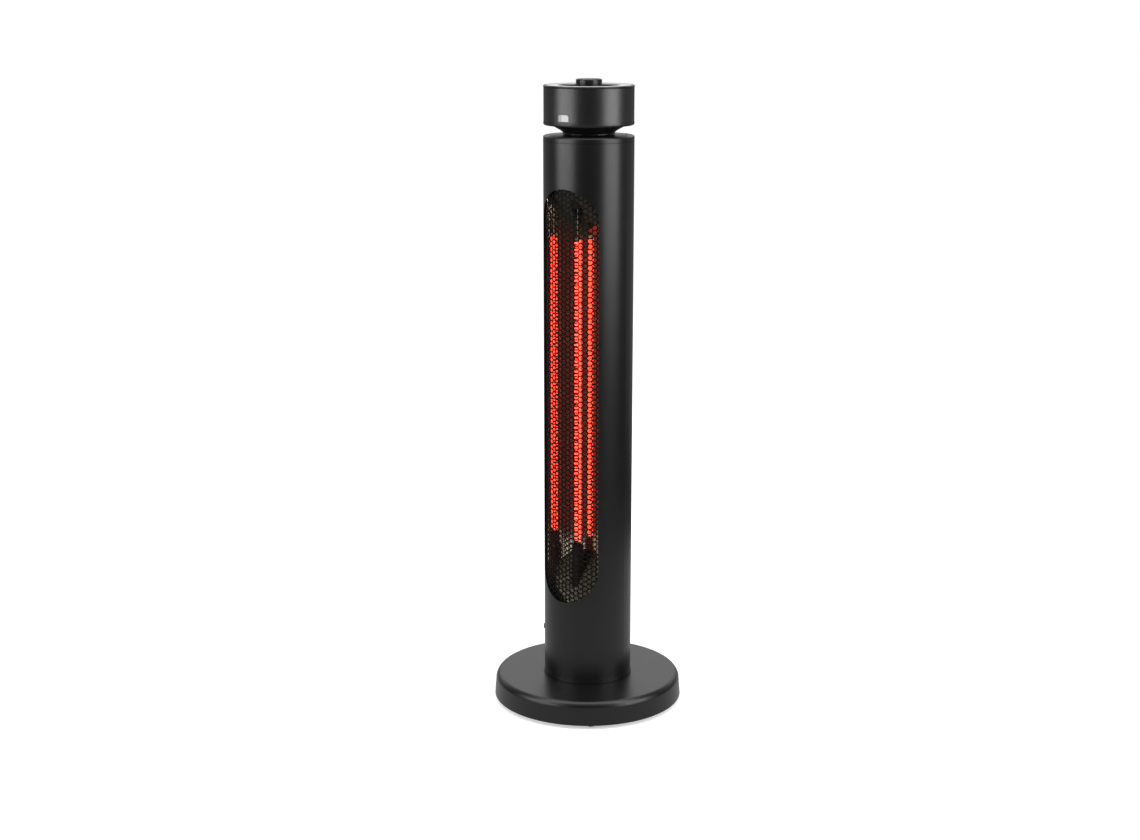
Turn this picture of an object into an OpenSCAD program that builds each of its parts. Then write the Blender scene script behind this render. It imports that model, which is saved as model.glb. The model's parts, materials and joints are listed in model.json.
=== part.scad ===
// Infrared patio heater tower: a weighted round foot, a turning column with a
// caged quartz lamp in a mirror trough, and a control head with a rotary knob.
// Millimetres, +Z up, front towards -Y, origin on the floor under the base.

/* [Base] */
// Diameter of the base at its bottom rim
base_d = 281.6; // [250:0.2:320]
// Height of the base from its rim to its top
base_h = 35; // [34:1:42]
// How far the base's side draws in on its way up
base_draft = 2; // [1:0.5:4]
// Width of the soft shoulder round the base's top
shoulder_w = 7.5; // [5:0.5:8]
// Height of the soft shoulder
shoulder_h = 8; // [5:0.5:9]
// Wall of the base cover
base_wall = 2.5; // [2:0.1:3]
// Thickness of the steel base plate
plate_t = 2; // [1.5:0.1:2.5]
// Thickness of the cast ballast ring
ballast_h = 12; // [8:1:14]
// Diameter of each rubber foot
foot_d = 14.6; // [12:0.1:18]
// Height of the rubber feet below the base's rim
foot_h = 6; // [4:0.5:8]
// Distance of each foot's middle from the base's edge
foot_inset = 18.8; // [16:0.1:22]

/* [Swivel] */
// Angle that the column swings to each side
swing_angle = 35; // [20:1:40]
// Outer diameter of the hollow spindle
spindle_d = 40; // [38:1:42]
// Bore of the hollow spindle
spindle_bore = 24; // [22:1:25]
// Gear module
gear_module = 1.5; // [1.4:0.05:1.6]
// Teeth on a whole turn of the large gear
gear_teeth = 56; // [52:2:60]
// Face width of the gears
gear_face = 5; // [4:0.5:5.5]
// Diameter of the swing motor
motor_d = 50; // [44:1:50]
// Height of the swing motor's can
motor_h = 18; // [14:1:18]

/* [Column] */
// Outer diameter of the column
column_d = 130; // [126:1:136]
// Wall of the column tube
column_wall = 1.5; // [1.2:0.1:2]
// Height of the plastic collar under the column
collar_h = 6.5; // [5:0.5:9]
// Width of the lamp window across the column
window_w = 95; // [84:1:98]
// Height of the window's lowest point above the floor
window_bottom = 165.8; // [158:0.2:180]
// Height of the window from end to end
window_h = 608.7; // [580:0.1:620]
// Height of the column above the window's highest point
over_window_h = 71.5; // [66:0.1:90]
// Thickness of the grille sheet
grille_t = 1; // [0.8:0.1:1.2]
// Spacing of the grille's holes
grille_pitch = 19; // [18.6:0.1:19.6]
// Width of each hexagonal hole across its flats
grille_hole = 16.4; // [14:0.1:16.8]

/* [Lamp] */
// Outer diameter of the quartz tube
glass_d = 14; // [13:0.1:15]
// Wall of the quartz tube
glass_wall = 1; // [0.8:0.1:1.2]
// Distance of the lamp in front of the column's axis
lamp_offset = 28; // [26:0.5:29]
// Diameter across the filament's coil
coil_d = 10.8; // [9.6:0.1:11.2]
// Diameter of the filament's strand
strand_d = 2.2; // [1.6:0.1:2.4]
// Number of curls in the filament
coil_curls = 90; // [80:1:92]
// Diameter of the lamp's ceramic caps
lamp_cap_d = 16; // [15.4:0.1:17]

/* [Reflector] */
// Sheet thickness of the mirror trough
mirror_t = 0.8; // [0.6:0.1:1]
// Distance of the mirror's back wall in front of the axis
mirror_offset = 10; // [9:0.5:11]
// Angle of the sloped mirror ends above the level
mirror_slope = 63; // [60:1:64]
// Distance of the mirror's back wall from each end of the window
mirror_inset = 68; // [64:1:80]

/* [Head] */
// Outer diameter of the control head
head_d = 128.8; // [124:0.2:132]
// Height of the head's side
head_h = 55.8; // [52:0.2:60]
// Wall of the head's shell
head_wall = 2.2; // [1.8:0.1:2.6]
// Height of the round neck under the head
neck_h = 4.6; // [4:0.1:8]
// Height of the funnel between neck and head
funnel_h = 9.5; // [8:0.1:14]
// Diameter of the sunk dial well
well_d = 88; // [80:1:92]
// Depth of the dial well
well_depth = 9; // [7:0.5:10]
// Diameter of the knob
knob_d = 37; // [32:0.5:40]
// Height of the knob's top above the head
knob_rise = 8.3; // [6:0.1:12]
// Width of the receiver window in the head
lens_w = 17; // [14:0.5:20]
// Height of the receiver window
lens_h = 9.2; // [8:0.1:11]

/* [Hidden] */

// Colours
black_paint = [0.07, 0.07, 0.075];
black_plastic = [0.04, 0.04, 0.045];
dark_mesh = [0.03, 0.03, 0.03];
steel = [0.62, 0.63, 0.65];
zinc = [0.72, 0.73, 0.75];
cast_grey = [0.28, 0.28, 0.3];
rubber_black = [0.03, 0.03, 0.03];
mirror_silver = [0.9, 0.9, 0.92];
ceramic = [0.9, 0.88, 0.83];
quartz = [0.85, 0.9, 0.92, 0.35];
ember = [1, 0.16, 0.05];
pom_white = [0.88, 0.88, 0.85];
board_green = [0.07, 0.3, 0.15];
wire_grey = [0.2, 0.2, 0.2];
lens_grey = [0.75, 0.76, 0.78];

// Rendering quality and clearances
$fn = 96;
overrun = 1;
running = 0.05;
slip = 0.1;
play = 0.3;
seat = 0.05;
arc_steps = 8;

// Screw sizes: shank radius, head radius and head height
m3_r = 1.5;
m3_head_r = 2.8;
m3_head_h = 2;
m4_r = 2;
m4_head_r = 3.8;
m4_head_h = 2.4;
boss_wall = 2.5;

// Base, from the floor upwards
base_r = base_d/2;
rim_z = foot_h;
rim_bevel = 0.6;
base_top = rim_z + base_h;
plate_recess = 0.5;
plate_z = rim_z + plate_recess;
plate_top = plate_z + plate_t;
cover_under = base_top - base_wall;
side_r = base_r - base_draft;
// The shoulder's arc starts this many degrees over the upright side, which leaves a faint edge
shoulder_turn = 35;
plate_r = base_r - base_wall - play - base_draft*(plate_recess + plate_t + overrun)/(base_h - shoulder_h);
foot_count = 5;
foot_step = 360/foot_count;
foot_angles = [for (i = [0:foot_count - 1]) foot_step/2 + i*foot_step];
foot_circle_r = base_r - foot_inset;
foot_stem_r = 2.5;
foot_taper = 1.2;
plate_boss_inset = 12;
plate_boss_circle_r = base_r - plate_boss_inset;
plate_boss_angles = [for (i = [0:foot_count - 1]) i*foot_step];
plate_boss_r = m3_r + boss_wall;
plate_screw_l = 12;
ballast_gap = 2;
ballast_r = plate_boss_circle_r - plate_boss_r - ballast_gap;
ballast_bore_r = 84;
ballast_slot_w = 18;

// Cord inlet at the rear
gland_rise = 13;
gland_z = rim_z + gland_rise;
gland_r = 8;
gland_bore_r = 3.6;
gland_flange_t = 2;
gland_l = 12;
gland_inset = 0.1;
gland_out = base_r - gland_inset;
lead_r = 3.2;
clamp_w = 26;
clamp_d = 9;
clamp_inset = 10;
clamp_y = ballast_bore_r - clamp_inset;
clamp_wall = 2;
clamp_screw_x = 9;
clamp_screw_reach = 8;
terminal_w = 30;
terminal_d = 16;
terminal_well = 6;

// Swivel: cover boss, bush, spindle, gear, from the top down
thrust_t = 1;
thrust_r = 58;
bush_wall = 3;
spindle_r = spindle_d/2;
bush_r = spindle_r + running + bush_wall;
cover_boss_h = 2;
cover_boss_wall = 4;
gear_play = 0.2;
gear_hub_h = 8;
gear_hub_wall = 5;
gear_plate_t = 2.5;
gear_hub_top = cover_under - cover_boss_h - gear_play;
spindle_end = gear_hub_top - gear_hub_h;
gear_bottom = spindle_end - gear_plate_t;
gear_face_rise = 1.6;
gear_face_z = spindle_end + gear_face_rise;
gear_screw_circle_r = (spindle_r + spindle_bore/2)/2;
gear_screw_l = 9;
gear_screw_angles = [60, 180, 300];
pressure_angle = 25;
backlash = 0.1;
pinion_ratio = 4;
pinion_teeth = gear_teeth/pinion_ratio;
tooth_steps = 4;
dedendum_share = 1.25;
gear_pitch_r = gear_module*gear_teeth/2;
pinion_pitch_r = gear_module*pinion_teeth/2;
motor_distance = gear_pitch_r + pinion_pitch_r;
tooth_step = 360/gear_teeth;
sector_side_teeth = ceil(swing_angle/tooth_step) + 2;
gear_web_t = 3;
gear_web_r_share = 0.77;
gear_rim_r_share = 0.67;
sector_sweep = (2*sector_side_teeth + 1.6)*tooth_step;
terminal_top = gear_bottom - m3_head_h - play;

// Motor behind the spindle on the left side
pinion_over = 0.5;
pinion_z = gear_face_z - pinion_over;
pinion_h = gear_face + 2*pinion_over;
pinion_clearance = 1.5;
motor_top = pinion_z - pinion_clearance;
motor_ear_t = 1;
motor_ear_r = 5;
motor_ear_out = 4.5;
motor_ear_circle = motor_d/2 + motor_ear_out;
motor_screw_reach = 6;
shaft_r = 3;
shaft_seat = 6;
motor_wire_r = 1.5;

// Turntable and column foot
collar_gap = 0.5;
collar_z = base_top + collar_gap;
tube_z = collar_z + collar_h;
column_r = column_d/2;
window_top = window_bottom + window_h;
column_top = window_top + over_window_h;
collar_overhang = 1;
collar_r = column_r + collar_overhang;
bore_r = column_r - column_wall;
turn_under = base_top + thrust_t + seat;
spigot_wall = 2.5;
spigot_r = bore_r - slip;
tube_screw_z = 111;
tube_screw_angles = [-56, -176];
tube_screw_l = 7;
tube_screw_head_h = 1.3;
spigot_over = 9;
spigot_top = tube_screw_z + spigot_over;

// Column cap and lugs
cap_edge_h = 3.5;
cap_round = 2.5;
cap_z = column_top - cap_edge_h;
cap_plate_t = 2.5;
cap_under = column_top - cap_plate_t;
cap_lip_h = 2.5;
cap_lip_wall = 2.2;
cap_screw_angles = [-140, 140];
lug_angles = [-140, 0, 140];
lug_t = 2;
lug_w = 14;
lug_l = 13;
lug_leg_h = 12;
lug_leg_x = sqrt(bore_r*bore_r - lug_w*lug_w/4) - lug_t;
lug_top = cap_z - cap_lip_h;
cap_screw_inset = 7;
cap_screw_r = bore_r - cap_screw_inset;
cap_hole_r = 14;

// Window and grille
window_r = window_w/2;
grille_r = bore_r - play;
grille_in_r = grille_r - grille_t;
grille_margin = 10;
grille_half_angle = 62;
grille_z = window_bottom - grille_margin;
grille_h = window_h + 2*grille_margin;
grille_column_step = grille_pitch*sin(60)/grille_r*180/PI;
grille_columns = 3;
grille_rows = floor((grille_h - 2*grille_margin)/grille_pitch);
grille_first_z = grille_z + grille_margin + grille_pitch/2;
stud_angle = 57.5;
stud_count = 4;
stud_step = (grille_h - 2*grille_margin)/(stud_count - 1);
stud_l = 5;
nut_r = 3;
nut_t = 1.6;
nut_seat = 0.15;

// Chassis rail and mirror trough
chassis_w = 44;
chassis_t = 1.5;
chassis_d = 24;
chassis_foot_l = 12;
chassis_front = -mirror_offset + mirror_t;
chassis_screw_x = chassis_w/2 + chassis_foot_l/2;
chassis_screw_y = 3;
chassis_screw_l = 4.5;
mirror_bottom = window_bottom + mirror_inset;
mirror_top = window_top - mirror_inset;
mirror_back_share = 0.243;
mirror_knee_shares = [0.556, 0.315];
mirror_mouth_shares = [0.7235, 0.662];
mirror_back_x = mirror_back_share*grille_in_r;
mirror_knee = mirror_knee_shares*grille_in_r;
mirror_mouth = mirror_mouth_shares*grille_in_r;
mirror_screw_edge = 1.5;
mirror_screw_x = mirror_back_x - m3_head_r - mirror_screw_edge;
mirror_end_gap = 0.8;
mirror_screw_inset = 30;
slope_run = mirror_mouth[1] - mirror_offset;
slope_rise = slope_run*tan(mirror_slope);

// Lamp
glass_r = glass_d/2;
heated_rise = 18.5;
heated_drop = 7;
heated_z = mirror_bottom + heated_rise;
heated_top = mirror_top - heated_drop;
lamp_cap_r = lamp_cap_d/2;
lamp_grip = 8;
low_cap_gap = 4.5;
low_cap_top = heated_z - low_cap_gap;
low_cap_h = 68;
high_cap_rise = 38;
high_cap_z = mirror_top + high_cap_rise;
high_cap_h = 50;
lamp_hole_gap = 1.2;
lamp_hole_r = lamp_cap_r + lamp_hole_gap;
lead_disc_gap = 0.8;
lead_disc_r = glass_r - glass_wall - lead_disc_gap;
lead_disc_t = 1.5;
lead_rod_r = 0.8;
clip_h = 8;
clip_t = 1;
clip_arm_w = 6;
clip_base_w = 24;
low_clip_inset = 2;
low_clip_z = low_cap_top - low_cap_h + low_clip_inset;
high_clip_inset = 6;
high_clip_z = high_cap_z + high_cap_h - clip_h - high_clip_inset;
clip_mouth = 2;

// Filament: one strand wound into a helix, straight for one diameter at its ends
strand_r = strand_d/2;
coil_mid_r = coil_d/2 - strand_r;
curl_rings = 8;
strand_sides = 6;
coil_ring_count = coil_curls*curl_rings;
coil_z = heated_z + strand_d;
coil_len = heated_top - heated_z - 2*strand_d;
coil_pitch = coil_len/coil_curls;
coil_rise = atan(coil_pitch/(2*PI*coil_mid_r));

// Tilt switch at the rear of the turntable's floor
tilt_w = 26;
tilt_d = 30;
tilt_h = 40;
tilt_wall = 2;
tilt_inset = 22.9;
tilt_y = spigot_r - spigot_wall - tilt_inset;
tilt_cover_t = 2;
tilt_pin_r = 1;
tilt_pin_drop = 9;
tilt_pin_z = tube_z + tilt_h - tilt_pin_drop;
tilt_ear_w = 7;
tilt_ear_t = 2;
tilt_screw_l = 4.5;
tilt_screw_x = tilt_w/2 + tilt_ear_w/2;
pendulum_l = 18;
pendulum_arm_w = 3;
pendulum_eye_r = 2.6;
bob_r = 4.2;
bob_h = 8;

// Inner parts on the rail
cutout_r = 6.5;
cutout_h = 6;
cutout_x = 13;
cutout_rise = 130;
cutout_z = (mirror_bottom + mirror_top)/2 + cutout_rise;
cutout_tab_w = 2;
cutout_tab_h = 8;
harness_r = 3.5;

// Neck and head, upwards from the column's top
neck_z = column_top;
neck_top_r = 35.5;
neck_foot_r = 37.5;
funnel_z = neck_z + neck_h;
head_z = funnel_z + funnel_h;
neck_bore_r = 32;
funnel_low_r = 37.8;
funnel_high_r = 51.8;
funnel_shares = [[0, 0], [0.2, 0.24], [0.68, 0.63], [0.88, 0.8], [1, 1]];
head_r = head_d/2;
head_in_r = head_r - head_wall;
head_top = head_z + head_h;
head_round = 3;
head_lip = 0.4;
shell_lip_t = 1.5;
shell_lip_w = 2.5;
tray_t = 3;
tray_r = head_in_r - play;
tray_hole_r = 12;
neck_screw_circle_r = 26;
neck_screw_angles = [50, 180, 310];
neck_boss_h = 7;
bead_h = 3.2;
bead_w = 4.2;
bead_z = head_top - bead_h;
ring_drop = 0.2;
ring_t = 1.4;
ring_top = head_top - ring_drop;
ring_z = ring_top - ring_t;
ring_out_r = head_r + head_lip - bead_w - slip;
well_r = well_d/2;
well_wall = 2;
well_floor = ring_z - well_depth;
well_flange_t = 1.6;
post_circle_r = 54;
post_angles = [60, 180, 300];
post_r = 4;
head_screw_l = 14;
knob_r = knob_d/2;
knob_gap = 0.8;
knob_z = well_floor + knob_gap;
knob_top = head_top + knob_rise;
knob_round = 2;
knob_wall = 2.2;
knob_hub_r = 5.5;
pointer_w = 1.6;
pointer_l = 12;
pointer_t = 0.5;
switch_shaft_r = 3;
switch_w = 24;
switch_h = 14;
bushing_r = 5;
switch_nut_r = 7.5;
switch_nut_t = 2;
washer_gap = 0.3;
shaft_drop = 2;
shaft_top = knob_top - knob_wall - shaft_drop;
switch_top = well_floor - well_wall;
prong_r = 0.8;
board_w = 70;
board_front = 56;
board_back = 48;
board_t = 1.6;
board_rise = 13.6;
board_screw_l = 8;
board_edge_gap = 3;
board_z = head_z + tray_t + board_rise;
board_pillar_r = 3;
board_pillar_x = 30;
board_pillar_front = 48;
board_pillar_back = 40;
relay_size = [19, 15, 14];
relay_place = [-24, -35];
choke_size = [22, 17, 12];
choke_place = [20, 24];
capacitor_r = 5;
capacitor_h = 12;
capacitor_place = [22, -36];
receiver_w = 6;
receiver_d = 4;
lens_rise = 7.7;
lens_z = head_z + lens_rise;
lens_round = 3;
lens_t = 3.2;
lens_proud = -0.1;

echo(least_gap_between_curls = least_curl_gap());

// General shapes
module ring(r_out, r_in, h) {
    difference() {
        cylinder(r = r_out, h = h);
        translate([0, 0, -overrun]) cylinder(r = r_in, h = h + 2*overrun);
    }
}

module hole(r, z, h) {
    translate([0, 0, z - overrun]) cylinder(r = r, h = h + 2*overrun);
}

// Places the children at angles measured from the front, at one radius and height.
module around(angles, r, z) {
    for (a = angles) rotate([0, 0, a - 90]) translate([r, 0, z]) children();
}

// A pan-head screw, head down, its shank rising from z = 0.
module screw_up(r, head_r, head_h, l) {
    cylinder(r = r, h = l);
    translate([0, 0, -head_h]) cylinder(r = head_r, h = head_h);
}

function arc_points(cx, cy, r, from, to) =
    [for (i = [0:arc_steps]) let (a = from + (to - from)*i/arc_steps) [cx + r*cos(a), cy + r*sin(a)]];

// Base
function base_outline(inset) = concat(
    [[0, rim_z + (inset > 0 ? -overrun : 0)]],
    [[base_r - inset - (inset > 0 ? 0 : rim_bevel), rim_z + (inset > 0 ? -overrun : 0)]],
    inset > 0 ? [] : [[base_r, rim_z + rim_bevel]],
    [[side_r - inset, base_top - shoulder_h]],
    [for (i = [1:arc_steps]) let (t = shoulder_turn + (90 - shoulder_turn)*i/arc_steps)
        [side_r - inset - shoulder_w*(1 - cos(t)/cos(shoulder_turn)),
         base_top - shoulder_h + (shoulder_h - inset)*(sin(t) - sin(shoulder_turn))/(1 - sin(shoulder_turn))]],
    [[0, base_top - inset]]
);

module base_cover() color(black_paint) difference() {
    union() {
        difference() {
            rotate_extrude() polygon(base_outline(0));
            rotate_extrude() polygon(base_outline(base_wall));
        }
        around(plate_boss_angles, plate_boss_circle_r, plate_top)
            cylinder(r = plate_boss_r, h = base_top - base_wall/2 - plate_top);
        translate([0, 0, cover_under - cover_boss_h])
            cylinder(r = bush_r + cover_boss_wall, h = cover_boss_h + seat);
        around([-90], motor_distance, 0) motor_ear_places()
            translate([0, 0, motor_top]) cylinder(r = m3_r + boss_wall, h = cover_under - motor_top + seat);
    }
    hole(bush_r, cover_under - cover_boss_h, cover_boss_h + base_wall);
    around(plate_boss_angles, plate_boss_circle_r, plate_top - overrun)
        cylinder(r = m3_r, h = plate_screw_l);
    around([-90], motor_distance, 0) motor_ear_places()
        translate([0, 0, motor_top - overrun]) cylinder(r = m3_r, h = motor_screw_reach + overrun);
    around([180], gland_out + overrun, gland_z) rotate([0, -90, 0]) {
        cylinder(r = gland_r - gland_flange_t, h = gland_l + overrun);
        cylinder(r = gland_r + slip, h = gland_flange_t + overrun);
    }
}

module motor_ear_places() {
    for (s = [-1, 1]) translate([0, s*motor_ear_circle, 0]) children();
}

module base_plate() color(steel) difference() {
    translate([0, 0, plate_z]) cylinder(r = plate_r, h = plate_t);
    around(foot_angles, foot_circle_r, 0) hole(foot_stem_r + slip, plate_z, plate_t);
    around(plate_boss_angles, plate_boss_circle_r, 0) hole(m3_r + slip, plate_z, plate_t);
    around([180], clamp_y, 0) for (s = [-1, 1]) translate([0, s*clamp_screw_x, 0])
        hole(m3_r + slip, plate_z, plate_t);
}

module ballast_ring() color(cast_grey) translate([0, 0, plate_top]) difference() {
    ring(ballast_r, ballast_bore_r, ballast_h);
    translate([-ballast_slot_w/2, 0, -overrun])
        cube([ballast_slot_w, base_r, ballast_h + 2*overrun]);
}

module rubber_feet() color(rubber_black) around(foot_angles, foot_circle_r, 0) {
    cylinder(r1 = foot_d/2 - foot_taper, r2 = foot_d/2, h = foot_taper);
    translate([0, 0, foot_taper]) cylinder(r = foot_d/2, h = plate_z - foot_taper);
    translate([0, 0, plate_z]) cylinder(r = foot_stem_r, h = plate_t);
}

module plate_screws() color(zinc) around(plate_boss_angles, plate_boss_circle_r, plate_z)
    screw_up(m3_r, m3_head_r, m3_head_h, plate_screw_l - overrun);

// Cord inlet, clamp and wiring in the base
module cord_gland() color(black_plastic)
    around([180], gland_out, gland_z) rotate([0, -90, 0]) difference() {
        union() {
            cylinder(r = gland_r, h = gland_flange_t);
            cylinder(r = gland_r - gland_flange_t - slip, h = gland_l);
        }
        hole(gland_bore_r, 0, gland_l);
    }

module cord_clamp() color(black_plastic) around([180], clamp_y, 0) difference() {
    translate([-clamp_d/2, -clamp_w/2, plate_top])
        cube([clamp_d, clamp_w, gland_z + lead_r + clamp_wall - plate_top]);
    translate([-clamp_d/2 - overrun, 0, gland_z]) rotate([0, 90, 0])
        cylinder(r = lead_r + slip, h = clamp_d + 2*overrun);
    for (s = [-1, 1]) translate([0, s*clamp_screw_x, plate_top - overrun])
        cylinder(r = m3_r, h = clamp_screw_reach + overrun);
}

module clamp_screws() color(zinc) around([180], clamp_y, plate_z) for (s = [-1, 1])
    translate([0, s*clamp_screw_x, 0])
        screw_up(m3_r, m3_head_r, m3_head_h, plate_t + clamp_screw_reach - overrun);

module base_wiring() color(wire_grey) {
    around([180], gland_out - gland_l, gland_z) rotate([0, -90, 0])
        cylinder(r = lead_r, h = gland_out - gland_l - terminal_d/2);
    translate([-motor_distance + motor_d/2, 0, plate_top + motor_wire_r + play]) rotate([0, 90, 0])
        cylinder(r = motor_wire_r, h = motor_distance - motor_d/2 - terminal_w/2);
}

module terminal_block() color(pom_white) difference() {
    translate([-terminal_w/2, -terminal_d/2, plate_top])
        cube([terminal_w, terminal_d, terminal_top - plate_top]);
    for (i = [-2:2]) if (i != 0) translate([i*terminal_w/6, -terminal_d/4, terminal_top - terminal_well])
        cylinder(r = m3_r, h = terminal_well + overrun);
}

// Swing motor and pinion
module swing_motor() color(steel) around([-90], motor_distance, 0) difference() {
    union() {
        translate([0, 0, motor_top - motor_h]) cylinder(d = motor_d, h = motor_h);
        translate([0, 0, motor_top - motor_ear_t]) motor_ear_places()
            cylinder(r = motor_ear_r, h = motor_ear_t);
        translate([-motor_ear_r, -motor_ear_circle, motor_top - motor_ear_t])
            cube([2*motor_ear_r, 2*motor_ear_circle, motor_ear_t]);
    }
    translate([0, 0, motor_top - shaft_seat]) cylinder(r = shaft_r + running, h = shaft_seat + overrun);
    motor_ear_places() hole(m3_r + slip, motor_top - motor_ear_t, motor_ear_t);
}

module motor_screws() color(zinc) around([-90], motor_distance, motor_top - motor_ear_t) motor_ear_places()
    screw_up(m3_r, m3_head_r, m3_head_h, motor_ear_t + motor_screw_reach - play);

module motor_shaft() color(zinc) around([-90], motor_distance, motor_top - shaft_seat + play)
    cylinder(r = shaft_r, h = pinion_z + pinion_h - motor_top + shaft_seat - play);

// Involute teeth: the half angle of a tooth at a radius
function involute(a) = tan(a)*180/PI - a;
function half_angle(r, pitch_r, base, teeth) =
    90/teeth - backlash/2/pitch_r*180/PI + involute(pressure_angle)
        - (r > base ? involute(acos(base/r)) : 0);

module gear_tooth(teeth, root_r, h) {
    pitch_r = gear_module*teeth/2;
    base = pitch_r*cos(pressure_angle);
    tip_r = pitch_r + gear_module;
    low_r = max(root_r, base);
    radii = [for (i = [0:tooth_steps]) low_r + (tip_r - low_r)*i/tooth_steps];
    half = [for (r = radii) half_angle(r, pitch_r, base, teeth)];
    right = [for (i = [0:tooth_steps]) radii[i]*[cos(half[i]), -sin(half[i])]];
    left = [for (i = [tooth_steps:-1:0]) radii[i]*[cos(half[i]), sin(half[i])]];
    foot_r = root_r - gear_module/4;
    linear_extrude(h) polygon(concat([foot_r*[cos(half[0]), -sin(half[0])]], right, left,
        [foot_r*[cos(half[0]), sin(half[0])]]));
}

module motor_pinion() color(pom_white) {
    root_r = pinion_pitch_r - dedendum_share*gear_module;
    translate([-motor_distance, 0, pinion_z]) difference() {
        union() {
            cylinder(r = root_r, h = pinion_h);
            for (i = [0:pinion_teeth - 1]) rotate([0, 0, (i + 0.5)*360/pinion_teeth])
                gear_tooth(pinion_teeth, root_r, pinion_h);
        }
        hole(shaft_r, 0, pinion_h);
    }
}

// Bush, turntable and gear
module thrust_bush() color(pom_white) difference() {
    union() {
        translate([0, 0, cover_under - cover_boss_h])
            cylinder(r = bush_r, h = base_top - cover_under + cover_boss_h);
        translate([0, 0, base_top]) cylinder(r = thrust_r, h = thrust_t);
    }
    hole(spindle_r + running, cover_under - cover_boss_h, base_wall + cover_boss_h + thrust_t);
}

module turntable() color(black_plastic) difference() {
    union() {
        translate([0, 0, collar_z]) cylinder(r = collar_r, h = collar_h);
        translate([0, 0, tube_z]) ring(spigot_r, spigot_r - spigot_wall, spigot_top - tube_z);
        translate([0, 0, spindle_end]) cylinder(r = spindle_r, h = tube_z - spindle_end);
    }
    translate([0, 0, collar_z - overrun]) ring(thrust_r + play, spindle_r, turn_under - collar_z + overrun);
    hole(spindle_bore/2, spindle_end, tube_z - spindle_end);
    around(gear_screw_angles, gear_screw_circle_r, spindle_end - overrun)
        cylinder(r = m3_r, h = gear_screw_l + overrun);
    for (s = [-1, 1]) translate([s*chassis_screw_x, chassis_screw_y, tube_z - chassis_screw_l])
        cylinder(r = m3_r, h = chassis_screw_l + overrun);
    around(tube_screw_angles, spigot_r - spigot_wall - overrun, tube_screw_z) rotate([0, 90, 0])
        cylinder(r = m4_r, h = spigot_wall + 2*overrun);
    for (s = [-1, 1]) translate([s*tilt_screw_x, tilt_y, tube_z - tilt_screw_l])
        cylinder(r = m3_r, h = tilt_screw_l + overrun);
}

module sector_gear() color(pom_white) difference() {
    root_r = gear_pitch_r - dedendum_share*gear_module;
    rim_in_r = gear_rim_r_share*gear_pitch_r;
    union() {
        translate([0, 0, gear_bottom])
            cylinder(r = spindle_r + gear_hub_wall, h = gear_hub_top - gear_bottom);
        translate([0, 0, gear_face_z]) {
            cylinder(r = gear_web_r_share*gear_pitch_r, h = gear_web_t);
            rotate([0, 0, 180 - sector_sweep/2]) rotate_extrude(angle = sector_sweep)
                translate([rim_in_r, 0]) square([root_r - rim_in_r, gear_face]);
            for (i = [-sector_side_teeth:sector_side_teeth]) rotate([0, 0, 180 + i*tooth_step])
                gear_tooth(gear_teeth, root_r, gear_face);
        }
    }
    translate([0, 0, spindle_end]) cylinder(r = spindle_r + seat, h = gear_hub_h + overrun);
    hole(spindle_bore/2, gear_bottom, gear_plate_t);
    around(gear_screw_angles, gear_screw_circle_r, 0) hole(m3_r + slip, gear_bottom, gear_plate_t);
}

module gear_screws() color(zinc) around(gear_screw_angles, gear_screw_circle_r, gear_bottom)
    screw_up(m3_r, m3_head_r, m3_head_h, gear_plate_t + gear_screw_l - play);

// Column tube, cap and their screws
module stadium(r, low, high) {
    translate([0, low + r]) circle(r = r);
    translate([0, high - r]) circle(r = r);
    translate([-r, low + r]) square([2*r, high - low - 2*r]);
}

module column_tube() color(black_paint) difference() {
    translate([0, 0, tube_z]) ring(column_r, bore_r, cap_z - tube_z);
    rotate([90, 0, 0]) linear_extrude(column_r + overrun) stadium(window_r, window_bottom, window_top);
    around(tube_screw_angles, bore_r - overrun, tube_screw_z) rotate([0, 90, 0])
        cylinder(r = m4_r + slip, h = column_wall + 2*overrun);
}

module tube_screws() color(black_plastic)
    around(tube_screw_angles, column_r, tube_screw_z) rotate([0, 90, 0]) {
        translate([0, 0, -tube_screw_l]) cylinder(r = m4_r, h = tube_screw_l);
        difference() {
            cylinder(r = m4_head_r, h = tube_screw_head_h);
            cross_slot(m4_head_r, tube_screw_head_h);
        }
    }

// The cross in a screw's head, cut down from its top at z = top.
module cross_slot(head_r, top) {
    for (a = [0, 90]) rotate([0, 0, a]) translate([-head_r/2, -head_r/10, top/2])
        cube([head_r, head_r/5, top/2 + overrun]);
}

module tube_lugs() color(steel) around(lug_angles, 0, lug_top) difference() {
    intersection() {
        union() {
            translate([bore_r - lug_l, -lug_w/2, -lug_t]) cube([lug_l, lug_w, lug_t]);
            translate([lug_leg_x, -lug_w/2, -lug_leg_h]) cube([lug_t, lug_w, lug_leg_h]);
        }
        translate([0, 0, -lug_leg_h]) cylinder(r = bore_r, h = lug_leg_h);
    }
    translate([cap_screw_r, 0, -lug_t - overrun]) cylinder(r = m3_r, h = lug_t + 2*overrun);
}

module column_cap() color(black_paint) difference() {
    union() {
        rotate_extrude() polygon(concat(
            [[0, cap_z], [column_r, cap_z]],
            arc_points(column_r - cap_round, column_top - cap_round, cap_round, 0, 90),
            [[0, column_top]]
        ));
        translate([0, 0, cap_z - cap_lip_h])
            ring(bore_r - slip, bore_r - slip - cap_lip_wall, cap_lip_h + seat);
    }
    translate([0, 0, cap_z - overrun])
        cylinder(r = bore_r - slip - cap_lip_wall, h = cap_under - cap_z + overrun);
    hole(cap_hole_r, cap_under, cap_plate_t);
    around(cap_screw_angles, cap_screw_r, 0) hole(m3_r + slip, cap_under, cap_plate_t);
    around(neck_screw_angles, neck_screw_circle_r, 0) hole(m4_r + slip, cap_under, cap_plate_t);
    for (s = [-1, 1]) translate([s*chassis_screw_x, chassis_screw_y, 0])
        hole(m3_r, cap_under, cap_plate_t);
}

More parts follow.
